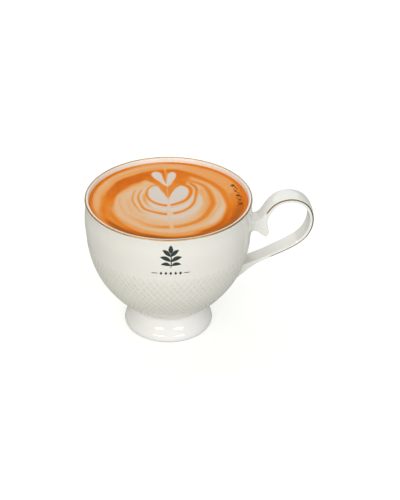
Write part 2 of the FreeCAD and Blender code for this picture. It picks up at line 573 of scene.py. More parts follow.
# ---- the bowl and its foot -----------------------------------------------------------
@dataclass
class Cup:
    """The cup's turned body: foot, netted bowl and rounded lip."""

    height: float
    rim_radius: float = 41.0
    wall: float = 2.0
    lip_round: float = 0.93
    floor: float = 3.0
    foot_radius: float = 22.5
    foot_base_radius: float = 21.6
    foot_ring: float = 1.7
    foot_round_height: float = 1.7
    foot_wall: float = 2.4
    neck_radius: float = 19.2
    neck_height: float = 12.0
    neck_rise: float = 0.5          # from the neck's height up to the hollow foot's ceiling
    net_lines: int = 76             # lines of one family round the bowl
    net_rise: float = 4.8           # height of a diamond, along the wall
    net_cells: int = 8              # steps of the mesh across and up one diamond
    net_top: float = 51.2           # height at which the net begins
    net_relief: float = 0.25        # how far a line stands out
    net_line: float = 0.32          # half breadth of a line
    bowl_form: tuple = ((0.545, 0.062), (0.633, 0.114), (0.750, 0.209), (0.869, 0.341),
                        (0.958, 0.521), (0.997, 0.701), (1.004, 0.855), (0.9945, 0.952))
    foot_form: tuple = ((0.865, 0.300), (0.480, 0.520), (0.150, 0.760))
    inner_heights: tuple = (0.10, 0.19, 0.32, 0.50, 0.68, 0.84, 0.94)
    inner_shares: tuple = (0.985, 0.965, 0.94, 0.9, 0.83, 0.75, 0.66, 0.56, 0.46, 0.36,
                           0.27, 0.18, 0.1)
    outer: Spline = field(init=False)

    def __post_init__(self) -> None:
        """Draw the outside curve, measure it and place what the other parts share."""
        swell, rise = self.foot_radius - self.neck_radius, self.height - self.neck_height
        points = [(self.foot_radius, self.foot_round_height)]
        points += [(self.neck_radius + share * swell, up * self.neck_height)
                   for share, up in self.foot_form]
        points.append((self.neck_radius, self.neck_height))
        points += [(share * self.rim_radius, self.neck_height + up * rise)
                   for share, up in self.bowl_form]
        points.append((self.rim_radius, self.height - self.lip_round))
        self.outer = Spline(points)
        self.shares = np.linspace(0, 1, 3000)
        self.dense = self.outer.at(self.shares)
        self.runs = lengths(self.dense)
        self.net_base = self.neck_height + 0.6
        self.ceiling = self.neck_height + self.neck_rise
        self.bed = self.ceiling + self.floor
        self.lip_centre = np.array([self.rim_radius - self.lip_round,
                                    self.height - self.lip_round])

    def share_at(self, height: float) -> np.ndarray:
        """Share of the outside curve at a height."""
        return np.interp(height, self.dense[:, 1], self.shares)

    def run_at(self, height: float) -> np.ndarray:
        """Length along the outside curve from the foot's widest part up to a height."""
        return np.interp(height, self.dense[:, 1], self.runs)

    def radius_at(self, height: float) -> np.ndarray:
        """Outside radius at a height."""
        return np.interp(height, self.dense[:, 1], self.dense[:, 0])

    def outward(self, height: float) -> np.ndarray:
        """Outward direction of the wall in its section, radius and height, at a height."""
        way = self.outer.along(self.share_at(height))
        return np.stack([way[:, 1], -way[:, 0]], axis=1)

    def clear_of(self, points: np.ndarray) -> tuple[np.ndarray, np.ndarray]:
        """How far points stand out of the bowl's wall.

        Args:
            points: places in millimetres, one a row.

        Returns:
            The distance of each, negative inside, and the wall's outward direction there.
        """
        radius = np.hypot(points[:, 0], points[:, 1])
        flat = np.stack([radius, points[:, 2]], axis=1)
        coarse = self.dense[::6]
        nearest = np.argmin(((flat[:, None] - coarse[None]) ** 2).sum(axis=2), axis=1)
        foot = coarse[nearest]
        normal = self.outward(foot[:, 1])
        unit = points[:, :2] / np.maximum(radius, 1e-9)[:, None]
        return (((flat - foot) * normal).sum(axis=1),
                np.column_stack([unit * normal[:, :1], normal[:, 1]]))

    def foot_part(self) -> np.ndarray:
        """Half section of the hollow under the foot, the foot's ring and its outside.

        Returns:
            Radius and height of each point, from the axis outwards.
        """
        side = self.neck_radius - self.foot_wall - 0.3
        out, base = self.foot_radius, self.foot_base_radius
        inner, corner = base - self.foot_ring, 2.4
        turn, slope = np.linspace(math.pi / 2, 0, 7), inner - 0.5 - side
        ceiling = np.array([(0, self.ceiling), (4, self.ceiling), (9, self.ceiling)])
        bend = np.column_stack([side - corner + corner * np.cos(turn),
                                self.ceiling - corner + corner * np.sin(turn)])
        ring = np.array([
            (side + 0.33 * slope, 6.8), (side + 0.66 * slope, 3.6), (inner - 0.5, 0.9),
            (inner - 0.38, 0.42), (inner - 0.12, 0.1), (inner + 0.3, 0.0), (base - 0.35, 0.0),
            (base - 0.02, 0.05), (base + 0.22, 0.22), (base + 0.45, 0.5), (base + 0.68, 0.9),
            (out - 0.06, 1.35)])
        heights = np.linspace(self.foot_round_height, self.net_base, 17)
        return np.vstack([ceiling, bend, ring,
                          np.column_stack([self.radius_at(heights), heights])])

    def wall_part(self) -> np.ndarray:
        """Half section of the wall's outside: rows that suit the net, then the plain band.

        Returns:
            Radius and height of each point, from below.
        """
        top = self.run_at(self.net_top)
        step = self.net_rise / self.net_cells
        rows = int((top - self.run_at(self.net_base)) / step)
        runs = top - step * np.arange(rows)[::-1]
        heights = np.linspace(self.net_top, self.height - self.lip_round, 15)[1:-1]
        return np.vstack([self.outer.at(np.interp(runs, self.runs, self.shares)),
                          self.outer.at(self.share_at(heights))])

    def lip_part(self) -> np.ndarray:
        """Half section of the lip, from the outer to the inner wall."""
        turn = np.linspace(0, math.pi, 11)
        return np.column_stack([self.rim_radius - self.lip_round * (1 - np.cos(turn)),
                                self.height - self.lip_round * (1 - np.sin(turn))])

    def inner_curve(self) -> Spline:
        """The inside of the bowl, from the flat of its floor up to the lip.

        Returns:
            The curve, in radius and height.
        """
        rise = self.height - self.neck_height
        heights = self.neck_height + np.array(self.inner_heights) * rise
        outside = self.outer.at(self.share_at(heights))
        wall = outside - self.outward(heights) * self.wall
        low = [(share * self.rim_radius, self.bed) for share in (0.22, 0.30)]
        lip = (self.rim_radius - 2 * self.lip_round, self.height - self.lip_round)
        return Spline(low + [tuple(p) for p in wall] + [lip])

    def profile(self) -> np.ndarray:
        """The whole half section, from under the cup round to the floor of the bowl."""
        bottom = np.array([(0.2 * self.rim_radius, self.bed), (4.0, self.bed), (0.0, self.bed)])
        return np.vstack([self.foot_part(), self.wall_part(), self.lip_part(),
                          self.inner_curve().at(np.array(self.inner_shares)), bottom])

    def raise_net(self, points: np.ndarray) -> np.ndarray:
        """Stand the net of diamonds out of the bowl's outside, moving the points given.

        Args:
            points: the turned body's points in millimetres.

        Returns:
            How much painted shade each point takes, standing in for the shade in the net's
            hollows: from 0 on the plain wall and the lines to 1 in the middle of a diamond.
        """
        radius, height = np.hypot(points[:, 0], points[:, 1]), points[:, 2]
        on_wall = (np.abs(radius - self.radius_at(height)) < 0.05) & (height > self.neck_height)
        on_wall &= height < self.net_top + 0.1
        wall, radius = points[on_wall], radius[on_wall]
        below = self.run_at(self.net_top) - self.run_at(wall[:, 2])
        around = np.arctan2(wall[:, 1], wall[:, 0]) * self.net_lines / math.tau
        across = self.net_lines / (math.tau * radius)
        spacing = 1 / np.sqrt(across ** 2 + self.net_rise ** -2)
        lift = np.zeros(len(wall))
        for lean in Lean:
            phase = around - lean.value * below / self.net_rise
            off_line = np.abs(phase - np.round(phase)) * spacing
            lift = np.maximum(lift, np.exp(-(off_line / self.net_line) ** 2))
        # The net and its painted hollow shade fade in from above, and out again over the foot; the
        # shade grows over the first 9 mm down.
        fade = smooth(0.0, 2.2, below) * smooth(self.net_base, self.neck_height + 3.5, wall[:, 2])
        deep = smooth(0.0, 9.0, below) * 0.6 + 0.4
        normal = self.outward(wall[:, 2])
        move = (lift * fade * self.net_relief)[:, None]
        points[on_wall] += move * np.column_stack([wall[:, :2] / radius[:, None] * normal[:, :1],
                                                   normal[:, 1]])
        hollow_shade = np.zeros(len(points))
        hollow_shade[on_wall] = (1 - lift) * fade * deep
        return hollow_shade

    @staticmethod
    def split_on_lines(piece: Object, hollow_shade: np.ndarray) -> None:
        """Split the net's faces along the lines that cross them, so that each stays crisp.

        Args:
            piece: the turned body with its net raised.
            hollow_shade: the painted shade at each point, standing in for the net's hollows, which
                is least on a line.
        """
        mesh = bmesh.new()
        mesh.from_mesh(piece.data)
        for face in [face for face in mesh.faces if len(face.verts) == 4]:
            first, second, third, fourth = face.verts
            lean = (hollow_shade[first.index] + hollow_shade[third.index]
                    - hollow_shade[second.index] - hollow_shade[fourth.index])
            if abs(lean) > 0.02:
                ends = (first, third) if lean < 0 else (second, fourth)
                bmesh.utils.face_split(face, *ends)
        mesh.to_mesh(piece.data)
        mesh.free()

    def build(self, china: Material) -> None:
        """Turn the body, raise its net and dress it.

        Args:
            china: the body's finish.
        """
        profile = self.profile()
        piece = turned("cup_body", profile, self.net_lines * self.net_cells)
        points = read_points(piece)
        self.map_round(piece, points, profile)
        hollow_shade = self.raise_net(points)
        write_points(piece, points)
        self.split_on_lines(piece, hollow_shade)
        write_value(piece, "net_hollow_shade", hollow_shade)
        finish_piece(piece, china, "cup")

    @staticmethod
    def map_round(piece: Object, points: np.ndarray, profile: np.ndarray) -> None:
        """Give the body a map that goes round it.

        Args:
            piece: the turned body.
            points: its points in millimetres, as turned.
            profile: the half section that it was turned from.
        """
        flat = np.stack([np.hypot(points[:, 0], points[:, 1]), points[:, 2]], axis=1)
        row = np.concatenate([np.argmin(((part[:, None] - profile[None]) ** 2).sum(axis=2), axis=1)
                              for part in np.array_split(flat, 8)])
        up = lengths(profile)
        turn = (np.arctan2(points[:, 1], points[:, 0]) / math.tau) % 1.0
        corners, face = face_corners(piece)
        across = turn[corners]
        # A face that crosses the seam is carried on past it.
        widest = np.zeros(face[-1] + 1)
        np.maximum.at(widest, face, across)
        across = np.where((widest[face] > 0.75) & (across < 0.25), across + 1.0, across)
        both = np.column_stack([0.99 * across, 0.995 * up[row[corners]] / up[-1]])
        write_map(piece, np.clip(0.002 + both, 0, 1))


@dataclass
class LipGilding:
    """The gold line brushed along the lip's outer edge."""

    cup: Cup
    low_angle: float = 20.0         # degrees round the lip, from straight outwards
    high_angle: float = 72.0
    back_angle: float = 46.0        # how much further over the lip it reaches at the back
    film: float = 0.035
    sunk: float = 0.05              # how deep the film's back lies in the glaze
    steps: int = 288

    def spread(self, points: np.ndarray) -> np.ndarray:
        """Carry the turned band's points further over the lip at the back, as brushed.

        Args:
            points: the band's points in millimetres.

        Returns:
            The points, moved up by their azimuth.
        """
        radius = np.hypot(points[:, 0], points[:, 1])
        centre = self.cup.lip_centre
        out, up = radius - centre[0], points[:, 2] - centre[1]
        low, high = math.radians(self.low_angle), math.radians(self.high_angle)
        more = math.radians(self.back_angle) * smooth(-0.3, 0.8, points[:, 1] / radius)
        angle = low + (np.arctan2(up, out) - low) * (high - low + more) / (high - low)
        far = np.hypot(out, up)
        ring = centre[0] + far * np.cos(angle)
        return np.column_stack([points[:, :2] / radius[:, None] * ring[:, None],
                                centre[1] + far * np.sin(angle)])

    def build(self, gilt: Material) -> None:
        """Turn the thin band, spread it at the back and dress it.

        Args:
            gilt: the line's finish.
        """
        turn = np.radians(np.linspace(self.low_angle, self.high_angle, 9))
        edge = np.sin(np.linspace(0, math.pi, 9)) ** 0.35
        way = np.column_stack([np.cos(turn), np.sin(turn)])
        top = self.cup.lip_centre + (self.cup.lip_round + self.film * edge)[:, None] * way
        back = self.cup.lip_centre + (self.cup.lip_round - self.sunk) * way[::-1][1:-1]
        piece = turned("lip_gilding", np.vstack([top, back, top[:1]]), self.steps)
        write_points(piece, self.spread(read_points(piece)))
        finish_piece(piece, gilt)


# ---- the handle ----------------------------------------------------------------------
@dataclass
class Handle:
    """The loop handle: a crowned strap that leaves a short neck and runs down the bowl."""

    cup: Cup
    reach: float = 31.0
    thickness: float = 2.4
    thin: float = 2.1
    top_width: float = 10.6
    low_width: float = 8.6
    outer_round: float = 0.8
    inner_round: float = 0.5
    crown: float = 0.28             # how far the outer face falls away to its edges
    spur_round: float = 1.3
    spur_back: float = 1.24
    spur_front: float = 2.852
    root_depth: float = 1.1
    root_fillet: float = 1.5
    step: float = 0.42              # longest way from one section to the next
    loop_form: tuple = ((0.100, 0.8235), (0.202, 0.8752), (0.360, 0.9557), (0.599, 0.9866),
                        (0.864, 0.9450), (1.000, 0.8188), (0.902, 0.6711), (0.618, 0.5745),
                        (0.237, 0.4953), (0.016, 0.4362))
    run_in: tuple = ((0.370, 4.0), (0.320, 1.9))
    strap_shares: tuple = (0.17, 0.24, 0.31, 0.38, 0.45, 0.53, 0.61, 0.69, 0.765)
    # Heights at which the strap's inner face ends in the bowl, and the outer curve's shares.
    run_out: tuple = ((30.2, 0.865), (27.0, 0.905), (24.0, 0.945), (21.6, 0.975), (19.6, 1.0))
    # Where along the outer curve a section meets each of the inner curve's first points.
    neck_pairs: tuple = (0.0, 0.026, 0.040, 0.046, 0.050, 0.054, 0.064, 0.086, 0.112)

    def place(self, out: float, up: float) -> np.ndarray:
        """A point in the handle's plane from its shares of reach and height."""
        return np.array([self.cup.rim_radius + out * self.reach, up * self.cup.height])

    def off_bowl(self, up: float, clear: float) -> np.ndarray:
        """A point in the handle's plane at a height, so far clear of the bowl."""
        return np.array([float(self.cup.radius_at(up)) + clear, up])

    def outer_curve(self) -> Spline:
        """The strap's outer face, from the neck over the loop and down to the bowl.

        Returns:
            The curve in the handle's plane, as X and Z.
        """
        height = self.cup.height
        points = [self.off_bowl(0.819 * height, -self.root_depth)]
        points += [self.place(out, up) for out, up in self.loop_form]
        points += [self.off_bowl(up * height, clear) for up, clear in self.run_in]
        points.append(self.off_bowl(0.283 * height, -0.4 * self.root_depth))
        return Spline(points)

    def inner_curve(self, outer: Spline) -> tuple[Spline, list[float]]:
        """The handle's underside: neck, spur and the strap's inner face.

        Args:
            outer: the strap's outer face.

        Returns:
            The curve, and the share of the outer curve that faces each of its points.
        """
        height, tip = self.cup.height, self.place(0.232, 0.690)
        points = [
            self.off_bowl(0.741 * height - 0.6, -self.root_depth),
            self.place(0.080, 0.7350),
            tip + (-self.spur_front, 0.026 * height),
            tip + (-1.05 * self.spur_round, 0.42 * self.spur_round),
            tip,
            tip + (0.95 * self.spur_round, 1.05 * self.spur_round),
            tip + (self.spur_back, 0.053 * height),
            self.place(0.241, 0.797),
            self.place(0.271, 0.849),
        ]
        for step, share in enumerate(self.strap_shares):
            grow = (self.thin - self.thickness) * step / (len(self.strap_shares) - 1)
            along = outer.along(share)[0]
            inward = np.array([along[1], -along[0]])
            points.append(outer.at(share)[0] + (self.thickness + grow) * inward)
        points += [self.off_bowl(up, -self.root_depth) for up, _ in self.run_out]
        pairs = [*self.neck_pairs, *self.strap_shares, *(pair for _, pair in self.run_out)]
        return Spline(points), pairs

    def stations(self, outer: Spline, inner: Spline, pairs: list[float]) -> np.ndarray:
        """Places of the sections along both curves.

        Args:
            outer: the strap's outer face.
            inner: the handle's underside.
            pairs: the outer curve's share at each of the inner curve's points.

        Returns:
            A share of the outer and a share of the inner curve in each row.
        """
        marks = np.array([(pair, inner.knot_share(i)) for i, pair in enumerate(pairs)])
        rows = []
        for low, high in zip(marks, marks[1:]):
            longest = max((high - low) * (outer.end, inner.end))
            part = np.linspace(0, 1, max(3, int(longest / self.step)), endpoint=False)
            rows.append(low + part[:, None] * (high - low))
        return np.vstack(rows + [marks[-1:]])

    def half_width(self, up: float) -> float:
        """Half the strap's breadth at a height."""
        share = (up / self.cup.height - 0.43) / 0.55
        return float(0.5 * (self.low_width + (self.top_width - self.low_width) * share))

    def section(self, out: np.ndarray, out_way: np.ndarray, low: np.ndarray,
                low_way: np.ndarray) -> tuple[np.ndarray, np.ndarray]:
        """Points round one section and the way each faces.

        Args:
            out: the section's point on the outer curve.
            out_way: the outer face's outward direction.
            low: its point on the inner curve.
            low_way: the inner face's outward direction.

        Returns:
            The points and their outward directions, both in X, Y and Z.
        """
        room = np.linalg.norm(out - low)
        big, small = min(self.outer_round, 0.45 * room), min(self.inner_round, 0.3 * room)
        wide, narrow = self.half_width(out[1]), self.half_width(low[1])
        rows, ways = [], []

        def put(flat: np.ndarray, width: float, way: np.ndarray, side: float) -> None:
            """Add a point at a place in the plane, so far out to its side."""
            rows.append((flat[0], width, flat[1]))
            ways.append((way[0], side, way[1]))

        quarter = np.linspace(0, math.pi / 2, 6)
        for across in np.linspace(-1, 1, 13)[6:]:
            fall = self.crown * across ** 2
            put(out - out_way * fall, across * (wide - big), out_way, 0.0)
        base = out - out_way * self.crown
        for turn in quarter[1:]:
            put(base - out_way * big * (1 - math.cos(turn)),
                wide - big * (1 - math.sin(turn)), out_way * math.cos(turn), math.sin(turn))
        start, stop = base - out_way * big, low - low_way * small
        for share in np.linspace(0, 1, 12)[1:-1]:
            put(start + share * (stop - start), wide + share * (narrow - wide), out_way * 0, 1.0)
        for turn in quarter[:0:-1]:
            put(low - low_way * small * (1 - math.cos(turn)),
                narrow - small * (1 - math.sin(turn)), low_way * math.cos(turn), math.sin(turn))
        for across in np.linspace(1, 0, 5):
            put(low, across * (narrow - small), low_way, 0.0)
        # The other side is the first one's mirror.
        return tuple(np.vstack([half, half[-2:0:-1] * (1, -1, 1)])
                     for half in (np.array(rows), np.array(ways)))

    def flared(self, points: np.ndarray, ways: np.ndarray, out: np.ndarray) -> np.ndarray:
        """Spread a section where it nears the bowl, as the modeller's fillet does.

        Args:
            points: the section's points.
            ways: the way each point faces.
            out: the section's point on the outer curve, which says how proud it stands.

        Returns:
            The spread points.
        """
        clear, normal = self.cup.clear_of(points)
        proud = self.cup.clear_of(np.array([[out[0], 0.0, out[1]]]))[0][0]
        fillet = self.root_fillet
        if out[1] <= 0.7 * self.cup.height:
            fillet = float(np.clip(0.75 * proud + 0.2, 0.05, self.root_fillet))
        reach = np.clip((fillet - clear) / fillet, 0.0, 1.0)
        spread = fillet * (1 - np.sqrt(1 - reach ** 2))
        sideways = ways - (ways * normal).sum(axis=1)[:, None] * normal
        return points + sideways * spread[:, None]

    def build(self, china: Material) -> None:
        """Skin the sections, close both ends inside the wall and dress the handle.

        Args:
            china: the handle's finish.
        """
        outer = self.outer_curve()
        inner, pairs = self.inner_curve(outer)
        stations = self.stations(outer, inner, pairs)
        outs, lows = outer.at(stations[:, 0]), inner.at(stations[:, 1])
        out_ways = outer.along(stations[:, 0])[:, ::-1] * (-1, 1)
        low_ways = inner.along(stations[:, 1])[:, ::-1] * (1, -1)
        loops = [self.flared(*self.section(out, out_way, low, low_way), out)
                 for out, out_way, low, low_way in zip(outs, out_ways, lows, low_ways)]
        finish_piece(skinned("handle", np.array(loops)), china, "cup")


@dataclass
class HandleGilding:
    """Thin gold lines along the two long edges of the strap's outer face."""

    handle: Handle
    start: float = 0.084            # shares of the outer curve
    end: float = 0.72
    taper: float = 0.012            # share over which a line widens from its end
    low_turn: float = 0.42          # shares of the quarter round of the edge
    high_turn: float = 0.98
    film: float = 0.035
    sunk: float = 0.06              # how deep the film's back lies in the glaze

    def line(self, side: Side) -> Object:
        """Lay one line along an edge of the strap.

        Args:
            side: the edge.

        Returns:
            The line, without its finish.
        """
        handle, outer = self.handle, self.handle.outer_curve()
        shares = np.linspace(self.start, self.end, 260)
        outs, ways = outer.at(shares), outer.along(shares)[:, ::-1] * (-1, 1)
        middle = 0.5 * (self.low_turn + self.high_turn)
        lifts = [0.0, *[self.film] * 4, 0.0, *[-self.sunk] * 6]
        loops = []
        for index, (out, way) in enumerate(zip(outs, ways)):
            from_end = min(index, len(shares) - 1 - index) * (shares[1] - shares[0])
            full = math.sqrt(min(1.0, from_end / self.taper)) * 0.96 + 0.04
            reach = 0.5 * (self.high_turn - self.low_turn) * full
            turns = math.pi / 2 * np.linspace(middle - reach, middle + reach, 6)
            base = out - way * handle.crown
            loop = []
            for turn, lift in zip([*turns, *turns[::-1]], lifts):
                far = handle.outer_round + lift
                flat = base - way * (handle.outer_round - far * math.cos(turn))
                width = handle.half_width(out[1]) - handle.outer_round + far * math.sin(turn)
                loop.append((flat[0], side.value * width, flat[1]))
            loops.append(loop)
        return skinned("line", np.array(loops))

    def build(self, gilt: Material) -> None:
        """Lay both lines and dress them."""
        piece = joined("handle_gilding", [self.line(side) for side in Side])
        finish_piece(piece, gilt)


# ---- the plain sprig on the front ----------------------------------------------------
@dataclass
class FrontSprig:
    """A plain leaf sprig over a row of lozenges, printed on the front of the bowl."""

    cup: Cup
    azimuth: float = -92.5          # degrees, round the Z axis from the handle
    film: float = 0.03
    sunk: float = 0.05              # how deep the film's back lies in the glaze
    stem: tuple = ((0.0, 57.4), (0.25, 61.0), (0.0, 65.6))
    # Each leaf: where it leaves the stem, where it ends, how far it bows, half breadth.
    leaves: tuple = (
        ((0.05, 65.2), (0.0, 69.8), 0.0, 1.15),
        ((0.1, 63.6), (3.9, 67.2), 0.5, 1.05),
        ((-0.1, 63.6), (-3.9, 67.2), 0.5, 1.05),
        ((0.15, 60.9), (5.3, 63.4), 0.7, 1.10),
        ((0.15, 60.9), (-5.1, 63.4), 0.7, 1.10),
        ((0.1, 58.6), (4.9, 59.3), 0.8, 0.95),
        ((0.1, 58.6), (-4.7, 59.3), 0.8, 0.95),
    )
    row_height: float = 54.3
    row_step: float = 2.3
    row_count: int = 5
    lozenge: float = 0.95           # half its height
    dash_length: float = 3.4

    def wrap(self, flat: np.ndarray, lift: float) -> np.ndarray:
        """Lay flat places on the bowl.

        Args:
            flat: millimetres to the right of the sprig's middle, and height, one place a row.
            lift: how far they stand off the glaze.

        Returns:
            The places in X, Y and Z.
        """
        across, height = flat.T
        radius, normal = self.cup.radius_at(height), self.cup.outward(height)
        angle = math.radians(self.azimuth) + across / radius
        far = radius + normal[:, 0] * lift
        return np.column_stack([far * np.cos(angle), far * np.sin(angle),
                                height + normal[:, 1] * lift])

    def blade(self, points: list, half: float, blunt: float) -> Object:
        """A printed mark that follows a line and narrows to both its ends.

        Args:
            points: the mark's middle line, across and height.
            half: its half breadth.
            blunt: how blunt its ends are, where 1 is a lens and 0.5 is rounder.

        Returns:
            The mark, laid on the bowl.
        """
        line, shares = Spline(points), np.linspace(0, 1, 18)
        middle, side = line.at(shares), line.along(shares)[:, ::-1] * (1, -1)
        width = half * np.sin(math.pi * np.clip(shares, 0.004, 0.996)) ** blunt
        across = np.linspace(-1, 1, 5)
        edge = 0.2 * self.film
        lifts = [edge, *[self.film] * 3, edge, *[-self.sunk] * 5]
        loops = [self.wrap(middle + side * (width * part)[:, None], lift)
                 for part, lift in zip([*across, *across[::-1]], lifts)]
        return skinned("mark", np.array(loops).transpose(1, 0, 2))

    def build(self, enamel: Material) -> None:
        """Print the stem, the leaves and the row under them, and dress them.

        Args:
            enamel: the print's finish.
        """
        marks = [self.blade(list(self.stem), 0.26, 0.3)]
        for start, end, bow, half in self.leaves:
            middle = (0.5 * (start[0] + end[0]), 0.5 * (start[1] + end[1]) + bow)
            marks.append(self.blade([start, middle, end], half, 0.9))
        for index in range(self.row_count):
            across = (index - (self.row_count - 1) / 2) * self.row_step
            marks.append(self.blade([(across, self.row_height + up)
                                     for up in (-self.lozenge, 0, self.lozenge)], 0.62, 1.15))
        edge = self.row_count / 2 * self.row_step + 0.2
        for sign in (-1, 1):
            marks.append(self.blade([(sign * (edge + run), self.row_height) for run in
                                     (0, self.dash_length / 2, self.dash_length)], 0.24, 0.5))
        finish_piece(joined("front_sprig", marks), enamel)


# ---- the drink -----------------------------------------------------------------------
@dataclass(frozen=True)
class Stroke:
    """One pull of milk or crema across the drink.

    points are its middle line in millimetres, in the pour's own frame; half is its half
    breadth at its start, middle and end; tone runs from 0, dark coffee, to 1, pure foam;
    fade is the share of its length over which each end dies away.
    """

    points: tuple
    half: tuple
    tone: tuple
    soft: float = 0.6
    strength: float = 1.0
    fade: tuple = (0.12, 0.12)


@dataclass(frozen=True)
class Pool:
    """A patch of milk or crema with a closed outline."""

    points: tuple
    tone: float
    soft: float = 0.3
    strength: float = 1.0


